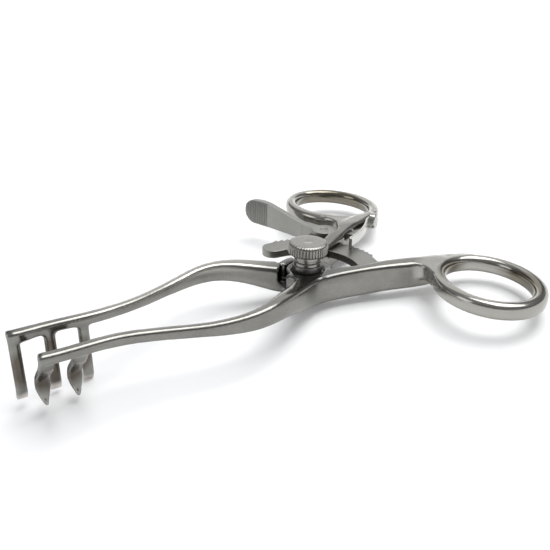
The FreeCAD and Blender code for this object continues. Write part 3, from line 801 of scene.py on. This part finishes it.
@dataclass
class Arm:
    """One forged arm with its finger ring and prongs.

    Attributes:
        node: Node of the arm.
        body: Body that carries the arm.
        finish: Finish of the arm.
        side: 1 for the far arm, -1 for the near arm.
        keep_out: Radius about the pivot inside which the machined faces stay crisp.
        outer_web: Plan outline of the metal that fills the corner outside the shank and the ring.
        inner_web: Plan outline of the metal that leads the shank's inner edge into the ring.
        web_levels: Lowest and highest level of both.
        turned_off: What is turned off the rim of the near hub.
        cheek: Wall of the far arm beside that rim.
        softness_least: Softening everywhere.
        hub_fade: Width over which the softening sets in outside keep_out.
        prong_start: Place along the arm past which the prongs are spared.
        prong_levels: Levels at which the bar over the prongs is soft and the prongs are crisp.
        prong_softness: Softening of the prongs, and what the bar over them has on top.
        shank_softness: Softening of the shank, and how far less the ring has.
        ring_reach: Distances from the ring's middle at which the ring ends and the shank starts.
        shade_smooth: Edges flatter than this many degrees are shaded smooth.
    """

    node: str
    body: str
    finish: Steel
    side: float
    keep_out: float
    outer_web: Tuple[Pair, ...] = (
        (18.6, 13.2), (19.7, 14.9), (20.4, 16.4), (20.4, 18.1), (19.7, 19.9), (21.6, 20.6), (25.5, 18.2),
        (25.0, 15.0), (20.5, 12.6))
    inner_web: Tuple[Pair, ...] = (
        (24.4, 12.15), (27.6, 13.3), (30.6, 14.4), (33.2, 15.6), (35.4, 17.25), (34.0, 18.6), (29.5, 17.4),
        (25.0, 16.0))
    web_levels: Pair = (-1.15, 2.5)
    turned_off: Segment = Segment(radii=(4.85, 8.0), turns=(52.0, 182.0), levels=(-3.7, 3.0))
    cheek: Segment = Segment(radii=(5.4, 7.2), turns=(86.0, 126.0), levels=(-6.4, 0.1))
    softness_least: float = 0.10
    hub_fade: float = 4.0
    prong_start: float = -50.0
    prong_levels: Pair = (-2.2, -3.4)
    prong_softness: Pair = (0.22, 0.78)
    shank_softness: Pair = (0.75, 0.45)
    ring_reach: Pair = (12.0, 15.0)
    shade_smooth: float = 60.0

    def plain(self, arms: StandingFrame) -> bmesh.types.BMesh:
        """Copy the solid's mesh into the arms' frame, in millimetres.

        Args:
            arms: Frame of the arms' tops.

        Returns:
            The copy.
        """
        mesh = bmesh.new()
        mesh.from_mesh(frame["nodes"][self.node].data)
        mesh.transform(Matrix.Scale(1.0 / MM, 4) @ arms.matrix().inverted())
        bmesh.ops.remove_doubles(mesh, verts=mesh.verts, dist=WELD)
        return mesh

    def softness(self, place: Vector) -> float:
        """Return how far hand filing has rounded the arm at a place.

        Args:
            place: Place in millimetres of the arms' frame.

        Returns:
            The share of softening.
        """
        least = self.softness_least
        body = fade(math.hypot(place.x, place.y), self.keep_out + self.hub_fade, self.keep_out)
        if place.x < 0:
            over = fade(place.z, *self.prong_levels) if place.x < self.prong_start else 1.0
            prong, added = self.prong_softness
            return least + (1.0 - least) * min(body, prong + added * over)
        from_ring = math.hypot(place.x - RING_CENTRE[0], place.y - self.side * RING_CENTRE[1])
        shank, less = self.shank_softness
        return least + min(body, shank - less * fade(from_ring, *self.ring_reach))

    def build(self, arms: StandingFrame) -> None:
        """Forge the arm from its solid and dress it.

        Args:
            arms: Frame of the arms' tops.
        """
        work = Forging()
        mesh = self.plain(arms)
        if self.side < 0:
            cutter = bmesh.new()
            self.turned_off.stand(cutter)
            mesh = work.cut(mesh, cutter)
        else:
            self.cheek.stand(mesh)
        for web in (self.outer_web, self.inner_web):
            prism(mesh, [(x, y * self.side) for x, y in web], *self.web_levels)
        bmesh.ops.recalc_face_normals(mesh, faces=mesh.faces)
        forged = work.forged(mesh, self.softness)
        LOG.info("%s forged with %d faces", self.node, len(forged.faces))
        piece = new_object("forged_" + self.node, forged, self.finish, arms, self.shade_smooth)
        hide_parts(self.node)
        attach(piece, self.body)


@dataclass
class Ratchet:
    """The toothed bar and the two rivets that hold it."""

    bar: str = "ratchet_bar"
    rivets: str = "ratchet_rivets"

    def build(self, arms: StandingFrame) -> None:
        """Dress the bar and its rivets.

        Args:
            arms: Frame of the arms' tops.
        """
        dress(self.bar, GROUND, arms)
        dress(self.rivets, SATIN, arms)
        LOG.info("ratchet dressed")


# Section of one ridge of the pad, as shares of its width and of its rise
RIDGE_SECTION = (
    (-0.5, -0.3), (-0.42, 0.35), (-0.2, 0.92), (0.0, 1.0), (0.2, 0.92), (0.42, 0.35), (0.5, -0.3))
# Its ends, as shares of half its length and of its rise there
RIDGE_ENDS = ((-1.0, 0.0), (-0.985, 0.55), (-0.955, 1.0), (0.955, 1.0), (0.985, 0.55), (1.0, 0.0))


@dataclass
class Pawl:
    """The thumb lever with its pawl, pin, leaf spring and spring screw.

    Attributes:
        body: Body that carries the lever.
        lever: Node of the lever.
        pin: Node of its pin.
        leaf: Node of the leaf spring.
        screw: Node of the screw that holds the leaf.
        root: Place of the lever's root in plan, in millimetres.
        pad_end: Place of the end of its pad in plan.
        thick: Thickness of the lever.
        pad_levels: Lowest and highest level of the pad.
        ridge_count: Ridges across the pad.
        ridge_run: Length of the ridged part of the pad.
        ridge_width: Width of one ridge.
        ridge_rise: Height of one ridge off the pad.
        ridge_start: Distance of the first ridge from the end of the pad, less a share of the pitch.
        ridge_shift: That share.
        margin: Smooth margin around the ridges.
    """

    body: str = "pawl_body"
    lever: str = "pawl_lever"
    pin: str = "pawl_pin"
    leaf: str = "leaf_spring"
    screw: str = "spring_screw"
    root: Pair = (14.3, 21.2)
    pad_end: Pair = (7.7, 41.0)
    thick: float = 1.5
    pad_levels: Pair = (-2.7, 4.1)
    ridge_count: int = 12
    ridge_run: float = 7.7
    ridge_width: float = 0.42
    ridge_rise: float = 0.24
    ridge_start: float = 0.45
    ridge_shift: float = 0.15
    margin: float = 0.16

    def ridge(self, mesh: bmesh.types.BMesh, back: float) -> None:
        """Raise one upright ridge on the pad.

        Args:
            mesh: Mesh that takes the ridge.
            back: Distance of the ridge from the end of the pad.
        """
        end = Vector((*self.pad_end, 0.0))
        along = (end - Vector((*self.root, 0.0))).normalized()
        across = Vector((-along.y, along.x, 0.0))
        low, high = self.pad_levels
        half = (high - low) / 2
        reach = half if back > half else math.sqrt(max(half * half - (half - back) ** 2, 0.0))
        reach -= self.margin
        middle = end - along * back + across * (self.thick / 2) + Vector((0.0, 0.0, (low + high) / 2))
        rings = []
        for level, share in RIDGE_ENDS:
            rings.append([mesh.verts.new(middle + along * (place * self.ridge_width)
                                         + across * (self.ridge_rise * (rise * share if rise > 0 else rise))
                                         + Vector((0.0, 0.0, level * reach)))
                          for place, rise in RIDGE_SECTION])
        for lower, upper in zip(rings, rings[1:]):
            for index in range(len(RIDGE_SECTION) - 1):
                mesh.faces.new((lower[index], lower[index + 1], upper[index + 1], upper[index]))
            mesh.faces.new((lower[-1], lower[0], upper[0], upper[-1]))
        mesh.faces.new(rings[0])
        mesh.faces.new(list(reversed(rings[-1])))

    def build(self, arms: StandingFrame) -> None:
        """Dress the lever, its pin, the leaf and its screw, and raise the ridges of the pad.

        Args:
            arms: Frame of the arms' tops.
        """
        dress(self.lever, BLASTED, arms)
        dress(self.pin, SATIN, arms)
        dress(self.leaf, LIT_LEAF_STEEL, arms)
        dress(self.screw, BRIGHT, arms)
        mesh = bmesh.new()
        pitch = self.ridge_run / self.ridge_count
        for index in range(self.ridge_count):
            self.ridge(mesh, self.ridge_start + pitch * (index + self.ridge_shift))
        ridges = new_object("lever_pad_ridges", mesh, BLASTED, arms, 50.0)
        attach(ridges, self.body)
        LOG.info("pawl dressed, %d ridges on its pad", self.ridge_count)


# Levels of the screw closer than this are the same, in millimetres
LEVEL_SLACK = 0.001


@dataclass
class ThumbScrew:
    """The knurled thumb screw and the loose collar under it.

    Attributes:
        body: Body of the screw.
        screw: Node of the screw.
        collar: Node of the collar.
        head_radius: Radius over the knurl.
        head_levels: Lowest and highest level of the head.
        edge: Chamfer at each end of the knurl.
        ridges: Ridges of the knurl.
        knurl_depth: Depth of the knurl's grooves.
        knurl_power: How narrow the grooves are against the ridges.
        neck_radius: Radius of the neck.
        neck_bottom: Level of the neck's lower face.
        groove: Depth of the groove round the neck.
        journal_radius: Radius of the plain shank.
        journal_end: Level where the thread starts.
        thread_radius: Radius over the thread.
        thread_end: Level of the thread's end.
        thread_pitch: Rise of the thread on each turn.
        thread_depth: Depth of the thread.
        thread_steps: Steps of level on each turn of the thread.
        thread_lead: Cut off the thread's end, inwards and upwards.
        steps: Steps on each ridge of the knurl.
    """

    body: str = "thumb_screw_body"
    screw: str = "thumb_screw"
    collar: str = "screw_collar"
    head_radius: float = 4.6
    head_levels: Pair = (3.9, 6.7)
    edge: float = 0.45
    ridges: int = 40
    knurl_depth: float = 0.34
    knurl_power: int = 3
    neck_radius: float = 3.25
    neck_bottom: float = 1.45
    groove: float = 0.35
    journal_radius: float = 2.0
    journal_end: float = -3.3
    thread_radius: float = 1.6
    thread_end: float = -5.8
    thread_pitch: float = 0.6
    thread_depth: float = 0.3
    thread_steps: int = 8
    thread_lead: Pair = (0.25, 0.3)
    steps: int = 8

    def head_profile(self) -> List[Point]:
        """Return radius, level and share of knurl, from the middle of the top down to the thread."""
        low, high = self.head_levels
        rim = self.head_radius
        neck = self.neck_radius
        step = self.neck_bottom
        return [
            (0.02, high - 0.05, 0.0), (0.35, high - 0.05, 0.0), (0.5, high, 0.0), (1.6, high, 0.0),
            (2.9, high, 0.0), (rim - self.edge - 0.42, high, 0.0), (rim - self.edge - 0.3, high - 0.02, 0.0),
            (rim - self.edge - 0.06, high - 0.12, 0.25),
            (rim - self.edge * 0.45, high - self.edge * 0.6, 0.7),
            (rim - 0.03, high - self.edge - 0.1, 1.0), (rim, high - self.edge - 0.3, 1.0),
            (rim, (low + high) / 2, 1.0), (rim, low + self.edge + 0.25, 1.0),
            (rim - 0.03, low + self.edge + 0.05, 1.0), (rim - self.edge * 0.45, low + self.edge * 0.45, 0.7),
            (rim - self.edge - 0.1, low + 0.02, 0.1), (rim - self.edge - 0.35, low, 0.0),
            (neck + 0.15, low, 0.0), (neck, low - 0.15, 0.0), (neck, low - 0.9, 0.0),
            (neck, step + 1.42, 0.0), (neck - 0.05, step + 1.38, 0.0),
            (neck - self.groove, step + 1.2, 0.0), (neck - self.groove, step + 0.9, 0.0),
            (neck - 0.05, step + 0.72, 0.0), (neck, step + 0.68, 0.0), (neck, step + 0.1, 0.0),
            (neck - 0.1, step, 0.0), (self.journal_radius, step, 0.0),
            (self.journal_radius, self.journal_end + 0.2, 0.0),
            (self.journal_radius - 0.2, self.journal_end, 0.0),
            (self.thread_radius, self.journal_end, 0.0),
        ]

    def radius_at(self, radius: float, level: float, knurl: float, share: float) -> float:
        """Return the radius of the turned form with its knurl.

        Args:
            radius: Radius of the plain form.
            level: Level on the screw.
            knurl: Share of the knurl at that level.
            share: Share of the full turn.

        Returns:
            The radius at that place.
        """
        if level < self.journal_end - LEVEL_SLACK:
            rise = (level / self.thread_pitch + share) % 1.0
            return radius - self.thread_depth * abs(2.0 * rise - 1.0)
        groove = (0.5 - 0.5 * math.cos(share * self.ridges * math.tau)) ** self.knurl_power
        return radius - knurl * self.knurl_depth * groove

    def turned(self) -> bmesh.types.BMesh:
        """Turn the screw as one closed mesh.

        Returns:
            The mesh, in millimetres of the arms' frame.
        """
        profile = self.head_profile()
        level = self.journal_end
        while level > self.thread_end + self.thread_lead[1]:
            level -= self.thread_pitch / self.thread_steps
            profile.append((self.thread_radius, level, 0.0))
        profile.append((self.thread_radius - self.thread_lead[0], self.thread_end, 0.0))
        mesh = bmesh.new()
        count = self.ridges * self.steps
        rings = []
        for radius, level, knurl in profile:
            ring = []
            for index in range(count):
                share = index / count
                reach = self.radius_at(radius, level, knurl, share)
                angle = math.tau * share
                ring.append(mesh.verts.new((reach * math.cos(angle), reach * math.sin(angle), level)))
            rings.append(ring)
        for upper, lower in zip(rings, rings[1:]):
            for index in range(count):
                after = (index + 1) % count
                mesh.faces.new((upper[index], lower[index], lower[after], upper[after]))
        mesh.faces.new(rings[0])
        mesh.faces.new(list(reversed(rings[-1])))
        return mesh

    def build(self, arms: StandingFrame) -> None:
        """Turn the screw and dress the collar.

        Args:
            arms: Frame of the arms' tops.
        """
        screw = new_object("knurled_thumb_screw", self.turned(), TURNED, arms, 38.0)
        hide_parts(self.screw)
        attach(screw, self.body)
        dress(self.collar, DULL, arms)
        LOG.info("thumb screw turned with %d ridges", self.ridges)


@dataclass(frozen=True)
class Softbox:
    """One square soft lamp that faces the instrument.

    Attributes:
        name: Name of the lamp.
        place: Place of the lamp, in metres.
        side: Side of its square, in metres.
        power: Power in watts.
    """

    name: str
    place: Point
    side: float
    power: float

    def hang(self) -> None:
        """Hang the lamp in the scene."""
        lamp = bpy.data.lights.new(self.name, "AREA")
        lamp.shape = "SQUARE"
        lamp.size = self.side
        lamp.energy = self.power
        holder = bpy.data.objects.new(self.name, lamp)
        holder.location = self.place
        holder.rotation_mode = "QUATERNION"
        holder.rotation_quaternion = (-Vector(self.place)).to_track_quat("-Z", "Y")
        bpy.context.scene.collection.objects.link(holder)


@dataclass
class Studio:
    """Floor, soft lights and camera.

    Attributes:
        focal_px: Focal length in pixels of the photograph's frame.
        eye: Place of the camera, in millimetres of the arms' frame.
        right: Direction to the right of the picture in that frame.
        up: Direction up the picture in that frame.
        sensor_mm: Width of the camera's sensor.
        clip: Nearest and farthest distance that the camera sees, in metres.
        floor_profile: Radius and level of each ring of the floor, in metres.
        floor_sides: Sides of each ring.
        paper_tone: Colour of the paper floor.
        paper_roughness: Roughness of the paper.
        paper_shine: Strength of its sheen.
        glow_reach: Distances from the middle between which the glow of the paper rises, in metres.
        glow: Glow at those distances, for the camera and the metal only.
        sky_tone: Colour of the surroundings.
        sky: Strength of the surroundings at the horizon and overhead.
        lamps: The soft lamps.
    """

    focal_px: float = 679.7
    eye: Point = (-83.00, -116.27, 65.20)
    right: Point = (0.84611, -0.53286, 0.01247)
    up: Point = (0.21702, 0.36579, 0.90504)
    sensor_mm: float = 36.0
    clip: Pair = (0.001, 50.0)
    floor_profile: Tuple[Pair, ...] = (
        (0.4, 0.0), (0.8, 0.0), (1.6, 0.0), (2.4, 0.0), (2.8, 0.04), (3.1, 0.16), (3.3, 0.36), (3.4, 0.60))
    floor_sides: int = 96
    paper_tone: Colour = (0.86, 0.865, 0.87, 1)
    paper_roughness: float = 0.8
    paper_shine: float = 0.1
    glow_reach: Pair = (0.15, 1.2)
    glow: Pair = (0.15, 0.95)
    sky_tone: Colour = (0.97, 0.98, 1.0, 1)
    sky: Pair = (0.10, 0.46)
    lamps: Tuple[Softbox, ...] = (
        Softbox("back_softbox", (0.50, 0.72, 0.46), 0.80, 1.65),
        Softbox("top_softbox", (0.24, -0.03, 0.60), 0.50, 4.0),
        Softbox("left_softbox", (-0.75, 0.25, 0.40), 0.40, 0.8),
    )

    def camera(self, arms: StandingFrame) -> None:
        """Place the camera as the photograph has it.

        Args:
            arms: Frame of the arms' tops.
        """
        right = Vector(self.right)
        up = Vector(self.up)
        turn = Matrix((right, up, right.cross(up))).transposed().to_4x4()
        place = Matrix.Translation(Vector(self.eye) * MM) @ turn
        lens = bpy.data.cameras.new("camera")
        lens.sensor_width = self.sensor_mm
        lens.sensor_fit = "HORIZONTAL"
        lens.lens = self.sensor_mm * self.focal_px / PHOTO_SIDE
        lens.clip_start, lens.clip_end = self.clip
        camera = bpy.data.objects.new("camera", lens)
        bpy.context.scene.collection.objects.link(camera)
        camera.matrix_world = arms.matrix() @ place
        bpy.context.scene.camera = camera

    def floor(self) -> None:
        """Lay the pale floor, which sweeps up far behind the instrument."""
        mesh = bmesh.new()
        count = self.floor_sides
        turns = [math.tau * index / count for index in range(count)]
        rings = [[mesh.verts.new((radius * math.cos(turn), radius * math.sin(turn), level)) for turn in turns]
                 for radius, level in self.floor_profile]
        mesh.faces.new(rings[0])
        for inner, outer in zip(rings, rings[1:]):
            for index in range(count):
                after = (index + 1) % count
                mesh.faces.new((inner[index], outer[index], outer[after], inner[after]))
        for face in mesh.faces:
            face.smooth = True
        data = bpy.data.meshes.new("floor")
        mesh.to_mesh(data)
        mesh.free()
        floor = bpy.data.objects.new("floor", data)
        bpy.context.scene.collection.objects.link(floor)
        data.materials.append(self.paper())

    def paper(self) -> bpy.types.Material:
        """Make the white paper, which the camera and the metal see a little brighter than it is lit.

        Returns:
            The material.
        """
        paper = bpy.data.materials.new("white_paper")
        paper.use_nodes = True
        tree = paper.node_tree
        shader = tree.nodes["Principled BSDF"]
        shader.inputs["Base Color"].default_value = self.paper_tone
        shader.inputs["Roughness"].default_value = self.paper_roughness
        shader.inputs["Specular IOR Level"].default_value = self.paper_shine
        shader.inputs["Emission Color"].default_value = (1.0, 1.0, 1.0, 1)
        ray = tree.nodes.new("ShaderNodeLightPath")
        seen = ray.outputs["Is Camera Ray"]
        for name in ("Is Glossy Ray", "Is Transmission Ray"):
            seen = computed(tree, "MAXIMUM", seen, ray.outputs[name])
        place = tree.nodes.new("ShaderNodeTexCoord")
        glow = spanned(tree, reach_of(tree, place.outputs["Object"]), self.glow_reach, self.glow)
        tree.links.new(computed(tree, "MULTIPLY", glow, seen), shader.inputs["Emission Strength"])
        return paper

    def surroundings(self) -> None:
        """Set the pale surroundings, brighter overhead than at the horizon."""
        world = bpy.data.worlds.new("studio")
        world.use_nodes = True
        tree = world.node_tree
        back = tree.nodes["Background"]
        back.inputs["Color"].default_value = self.sky_tone
        place = tree.nodes.new("ShaderNodeTexCoord")
        split = tree.nodes.new("ShaderNodeSeparateXYZ")
        tree.links.new(place.outputs["Generated"], split.inputs[0])
        rise = spanned(tree, split.outputs["Z"], (0.0, 1.0), self.sky)
        tree.links.new(rise, back.inputs["Strength"])
        bpy.context.scene.world = world

    def build(self, arms: StandingFrame) -> None:
        """Set the whole scene.

        Args:
            arms: Frame of the arms' tops.
        """
        self.floor()
        for lamp in self.lamps:
            lamp.hang()
        self.surroundings()
        self.camera(arms)
        LOG.info("studio set")


def main() -> None:
    """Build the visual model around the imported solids."""
    logging.basicConfig(level=logging.INFO, format="%(message)s")
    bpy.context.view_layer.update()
    arms = StandingFrame.from_joints(frame["record"]["behaviour"]["joints"])
    Arm("near_arm", "near_arm_body", NEAR_ARM, side=-1.0, keep_out=7.6).build(arms)
    Arm("far_arm", "far_arm_body", FAR_ARM, side=1.0, keep_out=8.0).build(arms)
    Ratchet().build(arms)
    Pawl().build(arms)
    ThumbScrew().build(arms)
    Studio().build(arms)
    bpy.context.scene.view_settings.view_transform = "Standard"


if __name__ == "__main__":
    main()
